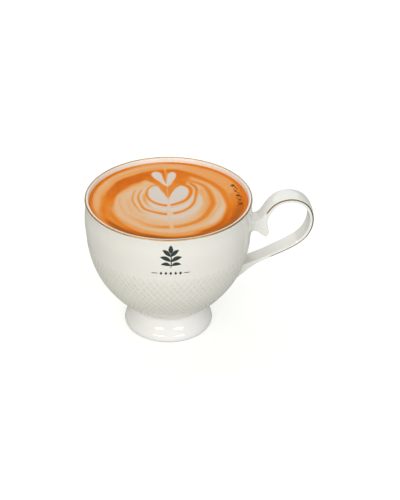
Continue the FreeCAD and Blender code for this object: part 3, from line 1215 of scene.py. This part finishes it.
# What is poured, from the bottom layer up.
POUR: tuple[Stroke | Pool, ...] = (
    # the pale foam along the wall, and the tan crema inside it
    Stroke(((16, 34.5), (4, 35), (-10, 34.2), (-23, 27.2), (-32, 15.5), (-35, 4), (-34.8, -6),
        (-31.5, -17), (-25, -26)), (1.2, 2.2, 1.4), (0.66, 0.7, 0.6), 1.8, fade=(0.1, 0.15)),
    Stroke(((-31, 8), (-31.6, -4), (-30.2, -13), (-25, -22.5)), (1.2, 1.7, 0.8), (0.44, 0.28, 0.34),
        1.5, fade=(0.2, 0.45)),
    # the shaded right side, browner towards the near lip
    Stroke(((35, 18), (36, 8), (35.5, -2), (34.5, -9), (32.5, -16), (28, -24), (19, -31)),
        (1.8, 3.9, 2.6), (0.34, 0.09, 0.05), 3, 0.93),
    Stroke(((31, 9), (31.8, -2), (30, -12)), (1.4, 1.6, 1.2), (0.44, 0.3, 0.18), 1.8, 0.8),
    # painted shade of the near lip, along the drink's near edge
    Stroke(((27, -23), (14, -32.8), (0, -35.4), (-11, -33.4), (-19, -29.6), (-26, -23.6),
        (-31.6, -16), (-35.4, -7)), (1.2, 2.1, 1.2), (0.08, 0, 0.13), 1.5, 0.95, fade=(0.2, 0.25)),
    # the milk that spread inside the dark ring
    Pool(((-15.1, 17.8), (-20.5, 12), (-24.8, 5.3), (-26.7, -2.2), (-26.2, -8.2), (-23.2, -16.3),
        (-17.2, -22.7), (-8.6, -28.1), (2.2, -29.8), (13, -27.1), (21.7, -20.6), (26.5, -10.9),
        (27.9, -2.2), (27, 5.3), (23.8, 12.4), (19.5, 17.2), (13, 21), (5.5, 19.4), (-8.6, 18.9)),
        0.75, 0.9),
    Stroke(((-13, 19.5), (-19.5, 14), (-24.2, 6)), (1.8, 2.2, 1.2), (0.48, 0.56, 0.66), 1.8, 0.85),
    Stroke(((25.2, 5), (25.6, -6), (23, -16), (18, -22.5)), (1.2, 2, 1.4), (0.72, 0.86, 0.84), 1.3),
    Stroke(((-14, -24.6), (-5, -28), (6, -28.3), (15, -25.6)), (1, 1.6, 1), (0.78, 0.77, 0.74), 1),
    # the dark crema ring that the milk pushed outwards
    Stroke(((6, 29.8), (-2, 29.6), (-9, 27.4), (-19.5, 20.6), (-26.4, 10.5), (-29, -1),
        (-28.4, -10), (-25.8, -17)), (1.8, 3.7, 1.2), (0.27, 0.2, 0.36), 1.1, fade=(0.04, 0.3)),
    Stroke(((-29.4, -6), (-26.6, -15.5), (-21, -24.4), (-13, -30.6), (-4, -33.4)), (1.2, 1.1, 1),
        (0.3, 0.3, 0.05), 1.1, fade=(0.25, 0.3)),
    Stroke(((-5, 26), (-13, 22.6), (-20, 17), (-24.6, 10)), (1.6, 2.9, 1.4), (0.25, 0.2, 0.26),
        1.3),
    Stroke(((-2, 30.2), (3, 29.7), (9, 27.4), (15.5, 23.2), (22, 16.8), (27, 7.8), (29.2, -3),
        (28.8, -12), (26, -20), (19.5, -27.5), (11, -32)), (1.9, 1.3, 1.6), (0.23, 0.33, 0.07), 1,
        fade=(0.03, 0.1)),
    # crema caught round the small heart
    Pool(((4, 30), (9, 27), (11.2, 23), (9.8, 19), (7.5, 15.5), (5.2, 16.5), (4.4, 21), (4.2, 26)),
        0.25, 1, 0.92),
    Stroke(((8, 23.5), (14, 21), (20, 15.5), (24, 8)), (0.5, 0.8, 0.6), (0.5, 0.68, 0.76), 0.7),
    Stroke(((-11.5, 25.5), (-7.6, 19.8), (-4.5, 15.5), (-3, 12.5)), (2.4, 1.9, 1),
        (0.22, 0.3, 0.38), 0.8, fade=(0.05, 0.1)),
    Stroke(((-3.4, 30.5), (-2.4, 24), (-1.4, 16)), (1.9, 1, 0.6), (0.26, 0.29, 0.36), 0.7,
        fade=(0.02, 0.05)),
    Stroke(((4.6, 28), (4.6, 22), (3.2, 16.5), (1.4, 12.5)), (1.3, 1.5, 1.1), (0.25, 0.29, 0.36),
        0.7, fade=(0.05, 0.05)),
    # the broad band of crema inside the milk
    Stroke(((6, 21.5), (12, 19), (17, 15), (20.4, 8), (21.4, -1), (19.6, -10), (15, -18),
        (8.5, -23), (1.8, -24.8)), (0.9, 1.5, 1.2), (0.42, 0.33, 0.42), 1.1, fade=(0.06, 0.02)),
    Stroke(((15.5, 13), (17.4, 5), (17.2, -3), (14.8, -10.5)), (0.8, 1.8, 1), (0.6, 0.62, 0.72),
        1.4, 0.85),
    Stroke(((0.8, -24.9), (-5, -24.9), (-12, -21.8), (-17, -16), (-19.5, -9)), (1.3, 1, 0.4),
        (0.4, 0.6, 0.72), 1.2, fade=(0.02, 0.3)),
    # pale milk inside that band
    Pool(((11, 12.5), (4, 15), (-6, 15), (-12.6, 12.5), (-16.2, 6), (-16.4, -4), (-13, -13),
        (-6, -19), (3, -20), (10.6, -16.5), (14.6, -9), (14.8, 0), (13.4, 7)), 0.84, 1.4),
    Stroke(((-16, 14), (-18.6, 8), (-19.6, 0)), (1.2, 1.4, 0.8), (0.74, 0.8, 0.78), 1.4),
    Stroke(((-20.6, 9), (-21.2, -3), (-18, -11), (-12, -17.5)), (0.6, 1.1, 0.8), (0.8, 0.76, 0.8),
        1.2),
    # faint threads of crema drawn out in the milk and the foam
    Stroke(((-22.6, 9), (-24, 0), (-22.4, -9), (-17.6, -17), (-10, -22.6)), (0.3, 0.45, 0.3),
        (0.64, 0.6, 0.62), 0.6, 0.6, (0.25, 0.3)),
    Stroke(((-20, 3), (-19.4, -6), (-15.6, -13.4), (-9.4, -18.4)), (0.3, 0.4, 0.3),
        (0.68, 0.64, 0.66), 0.5, 0.6, (0.3, 0.3)),
    Stroke(((23.6, 10), (24.8, -1), (22.2, -12), (16.4, -20.4), (8, -25.6)), (0.3, 0.5, 0.3),
        (0.66, 0.6, 0.62), 0.6, 0.6, (0.25, 0.3)),
    Stroke(((18.8, 10), (19.4, 0), (16.8, -9.6), (11, -17)), (0.3, 0.4, 0.3), (0.52, 0.5, 0.58),
        0.6, 0.6, (0.3, 0.3)),
    Stroke(((-33, 12), (-27, 21.4), (-17, 29), (-6, 32.6), (6, 33.2)), (0.3, 0.5, 0.3),
        (0.46, 0.48, 0.52), 0.8, 0.6, (0.3, 0.3)),
    Stroke(((12, 31.8), (21, 26.4), (28.4, 17.6), (32, 8)), (0.3, 0.5, 0.3), (0.6, 0.64, 0.5), 0.8,
        0.6, (0.3, 0.3)),
    # the folds of foam under the second line
    Stroke(((15.3, 8), (15.4, -1.5), (12.6, -9), (7.5, -13.8), (1.2, -16.4)), (0.6, 1.6, 1.7),
        (0.86, 0.93, 0.95), 0.8, fade=(0.15, 0.02)),
    Stroke(((-14.8, -4), (-11.6, -10.4), (-6, -14.4), (0, -16.4)), (0.5, 1.2, 1.5),
        (0.82, 0.88, 0.93), 0.7, fade=(0.15, 0.02)),
    # the thin lines of crema between the folds
    Stroke(((-16.6, 11.8), (-17.4, 5.3), (-17, -2.2), (-15, -7.6), (-11.3, -12.5), (-6.4, -14.6)),
        (0.35, 0.5, 0.35), (0.5, 0.46, 0.66), 0.45, fade=(0.1, 0.3)),
    Stroke(((-12.3, 12.9), (-14.5, 6.4), (-14, -2.2), (-11.8, -7.6), (-7.5, -10.8), (-3.2, -12.5),
        (-0.3, -13)), (0.4, 0.7, 1), (0.48, 0.43, 0.38), 0.4, fade=(0.12, 0.015)),
    Stroke(((-10.8, 9.5), (-11.8, 3), (-10.6, -3), (-7.5, -7)), (0.5, 0.8, 0.5), (0.6, 0.56, 0.62),
        0.5, fade=(0.2, 0.2)),
    Stroke(((9.6, 18.5), (12.6, 14.5), (13.9, 8), (13, 1), (10.9, -5.4), (6.5, -10.3),
        (2.2, -12.6)), (0.9, 0.65, 0.95), (0.32, 0.4, 0.39), 0.4, fade=(0.08, 0.015)),
    # the folds of foam under the large heart
    Stroke(((-9.8, -0.6), (-8, -4.2), (-4.6, -7), (-0.5, -8.9)), (0.6, 1.35, 1.7), (0.9, 0.97, 1),
        0.45, fade=(0.15, 0.02)),
    Stroke(((12, 6.5), (11.2, 0.5), (8.4, -4.6), (4.6, -7.6), (0.7, -9.2)), (0.5, 1.2, 1.6),
        (0.9, 0.97, 1), 0.45, fade=(0.15, 0.02)),
    # the line round the large heart, and the wedge of crema let into it
    Stroke(((-4.8, 14.6), (-7.4, 14.9), (-9.9, 12.5), (-10.7, 8), (-10.4, 4.3), (-9.2, 0.8),
        (-7, -1.9), (-3.7, -4), (-0.4, -5)), (0.45, 0.55, 0.9), (0.38, 0.38, 0.33), 0.4,
        fade=(0.05, 0.015)),
    Stroke(((6.5, 16.6), (9.4, 14), (10.9, 9.6), (10.6, 5), (8.9, 1), (5.5, -2.2), (0.9, -4.6)),
        (1.2, 0.9, 0.85), (0.32, 0.34, 0.33), 0.4, fade=(0.03, 0.015)),
    Pool(((-5.3, 13.8), (-3.7, 10.2), (-1.6, 5.3), (-0.3, 2), (0.9, 4.3), (2.2, 9.1), (4.2, 13.2),
        (6.6, 15.6), (5.4, 17.8), (1.7, 16.2), (-0.8, 14.6), (-3.2, 16), (-6.4, 16.7)), 0.38, 0.5,
        0.95),
    # the large heart
    Pool(((-0.4, 1.8), (-1.9, 5.4), (-3.9, 9.8), (-5.6, 12.6), (-7.3, 13), (-9, 11), (-9.6, 7.6),
        (-9.2, 3.9), (-7.6, 0.9), (-4.6, -1.7), (-1.2, -3.3), (-0.2, -2.6)), 1, 0.32),
    Pool(((0.4, 1.6), (1.2, 5.6), (2.6, 9.4), (4.4, 13.2), (6.4, 14.9), (8.4, 13.2), (9.7, 9.6),
        (9.3, 5.4), (7.4, 1.8), (4.2, -1), (1, -3.2), (0.1, -2.6)), 1, 0.32),
    # the small heart
    Pool(((-1.2, 14.5), (-1.9, 19.4), (-3, 24.8), (-4.5, 28.2), (-6.8, 29.1), (-8.6, 27),
        (-8, 24.2), (-6.4, 21.4), (-4.3, 18.6)), 0.99, 0.32),
    Pool(((-0.8, 13.6), (-0.7, 19.4), (-0.4, 25.3), (0.6, 28.5), (1.9, 28.9), (3.4, 27), (3.5, 24),
        (2.8, 20.8), (0.9, 16.7)), 0.99, 0.32),
    # the line that the jug drew through both hearts
    Stroke(((-2.3, 35), (-1.9, 31), (-1.4, 26)), (0.3, 0.35, 0.2), (0.7, 0.74, 0.6), 0.35, 0.8),
    Stroke(((-0.9, 14), (-0.5, 8), (-0.1, 2), (0, -3)), (0.16, 0.18, 0.2), (0.74, 0.74, 0.78), 0.3,
        0.7),
    Stroke(((0, -2.8), (0.1, -8), (0.5, -13), (0.8, -18), (1, -24)), (0.4, 0.34, 0.2),
        (0.99, 0.93, 0.8), 0.32),
)


@dataclass
class LatteArt:
    """The heart over heart that was poured into the cup."""

    layers: tuple = POUR
    turn: float = 4.0               # degrees from the cup's front to the pour's own
    ground: float = 0.56

    def painted(self, places: np.ndarray, radius: float) -> np.ndarray:
        """Tone of the drink's surface.

        Args:
            places: X and Y of points of the surface, in millimetres.
            radius: the surface's radius.

        Returns:
            The tone at each point, from 0, dark coffee, to 1, pure foam.
        """
        turn = math.radians(self.turn)
        x = places[:, 0] * math.cos(turn) - places[:, 1] * math.sin(turn)
        y = places[:, 0] * math.sin(turn) + places[:, 1] * math.cos(turn)
        far = np.hypot(x, y)
        # No pour is quite smooth: small eddies bend every edge a little.
        calm = smooth(6, 16, far) * 0.22
        here = np.stack([x + calm * np.sin(y / 2.6 + 0.9 * np.sin(x / 4.1)),
                         y + calm * np.sin(x / 2.9 + 1.1 * np.sin(y / 3.7) + 1.0)], axis=1)
        tone = self.ground + 0.06 * smooth(12, 30, y) * smooth(24, 4, x)
        for layer in self.layers:
            tone = self.laid(tone, here, layer)
        # Crema is darkest where it clings to the wall. Towards the near lip the edge is widened and
        # darkened further, as painted shade cast by the lip, and at the back left it stays lighter.
        near = smooth(-16, -31, y)
        edge = smooth(radius - 2.3 + 0.9 * near, radius - 1.2 + 0.6 * near, far)
        back = smooth(30, 37, y) * smooth(4, -8, x)
        rim = 0.27 + 0.14 * back - 0.26 * near
        tone = tone + edge * (rim - tone) * (0.94 - 0.3 * back)
        return np.clip(tone, 0.0, 1.0)

    def laid(self, tone: np.ndarray, here: np.ndarray, layer: Stroke | Pool) -> np.ndarray:
        """Lay one stroke or pool over the tone so far.

        Args:
            tone: the tone under it.
            here: the surface's places in the pour's frame.
            layer: what is laid.

        Returns:
            The tone with the layer on it.
        """
        if isinstance(layer, Pool):
            line = Spline(list(layer.points), closed=True).even(90)[:-1]
            gap, _ = self.to_line(here, np.vstack([line, line[:1]]))
            depth = np.where(self.within(here, line), gap, -gap)
            cover = smooth(-layer.soft, layer.soft, depth) * layer.strength
            return tone + cover * (layer.tone - tone)
        gap, share = self.to_line(here, Spline(list(layer.points)).even(60))
        half, laid = (np.interp(share, (0, 0.5, 1), ends) for ends in (layer.half, layer.tone))
        cover = smooth(half + layer.soft, np.maximum(half - layer.soft, 0), gap)
        # A pull of the jug starts and ends thin, so the stroke dies away at both ends.
        start, end = layer.fade
        cover *= smooth(0, start, share) * smooth(1, 1 - end, share) * layer.strength
        return tone + cover * (laid - tone)

    @staticmethod
    def to_line(here: np.ndarray, line: np.ndarray) -> tuple[np.ndarray, np.ndarray]:
        """Distance to a line of short chords, and the share of the line at its nearest point.

        Args:
            here: the places, one a row.
            line: the ends of the chords, one a row.

        Returns:
            The distance and the share of each place.
        """
        best, share = np.full(len(here), np.inf), np.zeros(len(here))
        count = len(line) - 1
        for index in range(count):
            start, way = line[index], line[index + 1] - line[index]
            part = np.clip(((here - start) @ way) / (way @ way), 0, 1)
            gap = np.hypot(*(here - start - part[:, None] * way).T)
            nearer = gap < best
            best = np.where(nearer, gap, best)
            share = np.where(nearer, (index + part) / count, share)
        return best, share

    @staticmethod
    def within(here: np.ndarray, ring: np.ndarray) -> np.ndarray:
        """Whether places lie inside a closed ring of points.

        Args:
            here: the places, one a row.
            ring: its points, one a row.

        Returns:
            Whether each place does.
        """
        inside = np.zeros(len(here), bool)
        x, y = here.T
        for start, end in zip(ring, np.roll(ring, -1, axis=0)):
            crosses = (start[1] > y) != (end[1] > y)
            rise = end[1] - start[1]
            at = start[0] + (y - start[1]) * (end[0] - start[0]) / (rise if rise else 1e-9)
            inside ^= crosses & (x < at)
        return inside


@dataclass
class Coffee:
    """The drink: a closed body that fills the bowl up to its level, with its poured top."""

    cup: Cup
    level: float
    art: LatteArt
    steps: int = 512
    ring_step: float = 0.31
    meniscus: float = 0.30          # how far the drink creeps up the wall
    meniscus_reach: float = 0.55
    foam_rise: float = 0.10         # how far foam stands over crema
    swell: float = 0.05             # height of the slow waves that the pour left
    wall_gap: float = 0.02

    def profile(self) -> tuple[np.ndarray, float]:
        """Half section from the bottom round the wall to the middle of the top.

        Returns:
            The section, and the radius of the top.
        """
        wall = self.cup.inner_curve().at(np.linspace(0.02, 1, 400))
        wall = wall[wall[:, 1] <= self.level + self.meniscus]
        side = wall[np.linspace(0, len(wall) - 1, 22).astype(int)] - (self.wall_gap, 0)
        floor = self.cup.bed + self.wall_gap
        side[:, 1] = np.maximum(side[:, 1], floor)
        radius = float(side[-1, 0])
        rings = np.arange(radius - 0.15, 0.2, -self.ring_step)
        creep = self.meniscus * np.exp(-(radius - rings) / self.meniscus_reach)
        top = np.column_stack([rings, self.level + creep])
        return np.vstack([[(0, floor), (4.0, floor)], side, top, [(0, self.level)]]), radius

    def build(self, foam: Material) -> None:
        """Turn the drink, pour the art into its top and dress it.

        Args:
            foam: the drink's finish.
        """
        profile, radius = self.profile()
        piece = turned("coffee_drink", profile, self.steps)
        points = read_points(piece)
        x, y, z = points.T
        on_top = z > self.level - 0.05
        tone = np.zeros(len(points))
        tone[on_top] = self.art.painted(points[on_top, :2], radius)
        calm = smooth(radius, radius - 1.5, np.hypot(x, y))
        swell = self.swell * np.sin(x / 5.3 + 0.7) * np.cos(y / 6.1)
        z[on_top] += ((self.foam_rise * (tone - 0.5) + swell) * calm)[on_top]
        write_points(piece, points)
        write_value(piece, "pour", tone)
        self.map_top(piece, points)
        finish_piece(piece, foam, "coffee")

    def map_top(self, piece: Object, points: np.ndarray) -> None:
        """Give the drink a flat map of its top.

        Args:
            piece: the drink.
            points: its points in millimetres.
        """
        corners, face = face_corners(piece)
        lowest = np.full(face[-1] + 1, np.inf)
        np.minimum.at(lowest, face, points[corners, 2])
        flat = points[corners, :2] / self.cup.rim_radius
        # The hidden sides go small into the map's empty corner.
        hidden = (lowest[face] < self.level - 0.15)[:, None]
        write_map(piece, np.where(hidden, 0.955 + 0.035 * flat, 0.5 + flat / 2.05))


@dataclass
class FrothBubbles:
    """A few coarse bubbles that the pour left near the wall."""

    level: float
    turn: float
    # Place in the pour's frame, and radius, in millimetres.
    bubbles: tuple = ((32.0, 14.8, 1.05), (33.3, 13.2, 0.46), (34.0, 11.6, 0.36),
                      (33.2, 9.4, 0.74), (34.5, 7.7, 0.40), (34.2, 5.0, 1.05),
                      (35.6, 3.6, 0.50), (33.7, 2.5, 0.36), (34.8, 0.8, 0.66),
                      (33.9, -1.0, 0.30), (35.1, -3.0, 1.05), (33.9, -4.7, 0.34),
                      (32.4, 11.2, 0.32), (35.8, 9.5, 0.28))
    flat: float = 0.55              # height of a bubble's dome over its radius
    collar: float = 1.28            # how much wider its foot spreads
    dip: float = 0.12               # how far its foot goes under, over its radius

    def blown(self, x: float, y: float, radius: float) -> Object:
        """Blow one bubble as a low dome with a collar.

        Args:
            x: its place in the pour's frame.
            y: the same, across.
            radius: its radius.

        Returns:
            The bubble, without its finish.
        """
        turn = math.radians(-self.turn)
        place = Vector((x * math.cos(turn) - y * math.sin(turn),
                        x * math.sin(turn) + y * math.cos(turn), self.level)) * MM
        deselect()
        bpy.ops.mesh.primitive_uv_sphere_add(segments=20, ring_count=12, radius=radius * MM,
                                             location=place, scale=(1.0, 1.0, self.flat))
        dome = bpy.context.object
        bpy.ops.object.transform_apply(location=True, rotation=True, scale=True)
        bpy.ops.object.mode_set(mode="EDIT")
        bpy.ops.mesh.select_all(action="SELECT")
        bpy.ops.mesh.bisect(plane_co=place, plane_no=(0, 0, 1), clear_inner=True,
                            use_fill=False)
        bpy.ops.mesh.extrude_region_move()
        bpy.ops.transform.resize(value=(self.collar, self.collar, 1.0))
        bpy.ops.transform.translate(value=(0, 0, -self.dip * radius * MM))
        bpy.ops.mesh.edge_face_add()
        seal(weld=False)
        return dome

    def build(self, film: Material) -> None:
        """Blow each bubble, join them and dress them."""
        piece = joined("froth_bubbles", [self.blown(*bubble) for bubble in self.bubbles])
        finish_piece(piece, film)


# ---- light, floor and camera ---------------------------------------------------------
def seen(owner: Material | World) -> Node:
    """Whether a ray comes from the camera, straight or through something clear."""
    ray = add_node(owner, "LightPath")
    return add_node(owner, "Math", {"operation": "MAXIMUM"},
                    {0: ray.outputs["Is Camera Ray"], 1: ray.outputs["Is Transmission Ray"]})


@dataclass
class Studio:
    """A plain pale floor, soft light and the camera."""

    aim: tuple = (0.0, 0.0, 41.47)
    distance: float = 637.8
    elevation: float = 32.32
    off_handle: float = 4.0         # degrees that the handle turns away behind the side
    lens: float = 91.63
    shift: float = 0.063
    dome: float = 0.355             # strength of the even light from all round
    # Weak softboxes all round and above, and two barred windows in front: name, degrees to
    # the right of the camera and over the floor, metres away, breadth and height, watts.
    lamps: tuple = (
        ("key_softbox", 44, 42, 1.3, (0.9, 0.9), 2.8, "#F7FAFF"),
        ("fill_softbox", -46, 30, 1.4, (0.9, 0.9), 1.2, "#FCF9D6"),
        ("front_softbox", -24, 50, 1.3, (0.7, 0.7), 1.2, "#FFFFFF"),
        ("top_softbox", -132, 68, 1.3, (1.0, 0.8), 4.3, "#FFFFFF"),
        ("rear_softbox", 184, 31, 1.3, (1.5, 0.6), 2.9, "#FFFFFF"),
        ("window_left_low", -24, 4.5, 1.2, (0.46, 0.10), 1.9, "#FFFFFF"),
        ("window_left_high", -24, 21, 1.2, (0.52, 0.06), 2.0, "#FFFFFF"),
        ("window_right_low", 27, 4.5, 1.2, (0.46, 0.10), 1.9, "#FFFFFF"),
        ("window_right_high", 27, 21, 1.2, (0.52, 0.06), 1.3, "#FFFFFF"),
    )

    def floor(self) -> None:
        """A wide pale floor, brighter to the camera than it lights the cup."""
        deselect()
        bpy.ops.mesh.primitive_plane_add(size=1.0, location=(0, 0, 0))
        piece = bpy.context.object
        piece.name = piece.data.name = "studio_floor"
        bpy.ops.object.mode_set(mode="EDIT")
        bpy.ops.transform.resize(value=(9, 9, 1))
        bpy.ops.mesh.subdivide(number_cuts=7)
        bpy.ops.object.mode_set(mode="OBJECT")
        bpy.ops.object.transform_apply(location=True, rotation=True, scale=True)
        material, place = new_material("studio_paper")
        grain = add_node(material, "TexNoise", {"Scale": 40.0, "Detail": 3.0},
                         {"Vector": place})
        tone = add_node(material, "Mix", {"data_type": "RGBA", 6: linear("#BEC0BA"),
                                          7: linear("#C2C4BE")}, {0: grain})
        paper = add_node(material, "BsdfDiffuse", {}, {"Color": tone.outputs[2]})
        # Near the cup the floor glows less to the camera, so that the shadow stays in sight.
        far = add_node(material, "VectorMath", {"operation": "LENGTH"}, {0: place})
        bright = add_node(material, "MapRange",
                          {"From Min": 0.12, "From Max": 0.5, "To Min": 0.62, "To Max": 1.0},
                          {"Value": far.outputs["Value"]})
        glow = add_node(material, "Emission", {"Color": (1, 1, 1, 1)}, {"Strength": bright})
        lit = add_node(material, "AddShader", {}, {0: paper, 1: glow})
        both = add_node(material, "MixShader", {}, {0: seen(material), 1: paper, 2: lit})
        add_node(material, "OutputMaterial", {}, {"Surface": both})
        piece.data.materials.append(material)

    def sky(self) -> None:
        """An even dome of soft light that the camera sees as plain white."""
        world = bpy.data.worlds.new("soft_studio")
        world.use_nodes = True
        world.node_tree.nodes.clear()
        bpy.context.scene.world = world
        dome = add_node(world, "Background", {"Color": linear("#FCFCF7"),
                                              "Strength": self.dome})
        white = add_node(world, "Background", {"Color": (1, 1, 1, 1), "Strength": 1.0})
        both = add_node(world, "MixShader", {}, {0: seen(world), 1: dome, 2: white})
        add_node(world, "OutputWorld", {}, {"Surface": both})

    def stand(self, name: str, data: Light | Camera, azimuth: float,
              elevation: float, away: float) -> Object:
        """Stand a lamp or the camera round the cup, aimed at its middle.

        Args:
            name: its name.
            data: the lamp or the camera.
            azimuth: degrees to the right of the camera's side of the cup.
            elevation: degrees over the floor.
            away: metres from the cup.

        Returns:
            The new object.
        """
        turn, up = math.radians(azimuth - self.off_handle), math.radians(elevation)
        flat, aim = away * math.cos(up), Vector(self.aim) * MM
        thing = bpy.data.objects.new(name, data)
        bpy.context.scene.collection.objects.link(thing)
        thing.location = Vector((flat * math.sin(turn), -flat * math.cos(turn),
                                 away * math.sin(up))) + aim
        thing.rotation_euler = (aim - thing.location).to_track_quat("-Z", "Y").to_euler()
        return thing

    def lights(self) -> None:
        """The softboxes and the windows."""
        for name, azimuth, elevation, away, size, power, colour in self.lamps:
            data = bpy.data.lights.new(name, "AREA")
            data.shape = "RECTANGLE"
            data.size, data.size_y = size
            data.energy = power
            data.color = linear(colour)[:3]
            self.stand(name, data, azimuth, elevation, away)

    def camera(self) -> None:
        """The camera, level and aimed at the middle of the cup."""
        data = bpy.data.cameras.new("view")
        data.lens = self.lens
        data.sensor_width = 36
        data.shift_x = self.shift
        data.dof.use_dof = False
        bpy.context.scene.camera = self.stand("view", data, 0, self.elevation,
                                              self.distance * MM)

    def build(self) -> None:
        """Set the stage."""
        self.floor()
        self.sky()
        self.lights()
        self.camera()
        bpy.context.scene.view_settings.view_transform = "Standard"


def main() -> None:
    """Build every piece in order and report it."""
    logging.basicConfig(level=logging.INFO, format="%(name)s: %(message)s")
    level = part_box("coffee")[1].z / MM
    cup = Cup(height=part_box("cup")[1].z / MM)
    cup.build(GlazedChina().make())
    LipGilding(cup).build(BurnishedGilt().make())
    handle = Handle(cup)
    # Painted light: the handle takes a lighter copy of the china, standing in for the light that
    # falls on it.
    handle.build(GlazedChina("glazed_bone_china_lightened", "#F5F4F1", "#F0EEE9").make())
    # Painted shade: the handle's lines take a darker copy of the gilt, standing in for the dark
    # surroundings that they reflect.
    dark_gilt = BurnishedGilt("burnished_gilt_painted_dark", low="#6E5B38", high="#93805A")
    HandleGilding(handle).build(dark_gilt.make())
    FrontSprig(cup).build(EnamelDecal().make())
    art = LatteArt()
    Coffee(cup, level, art).build(MicrofoamOnCrema().make())
    FrothBubbles(level, art.turn).build(BubbleFilm().make())
    Studio().build()


if __name__ == "__main__":
    main()
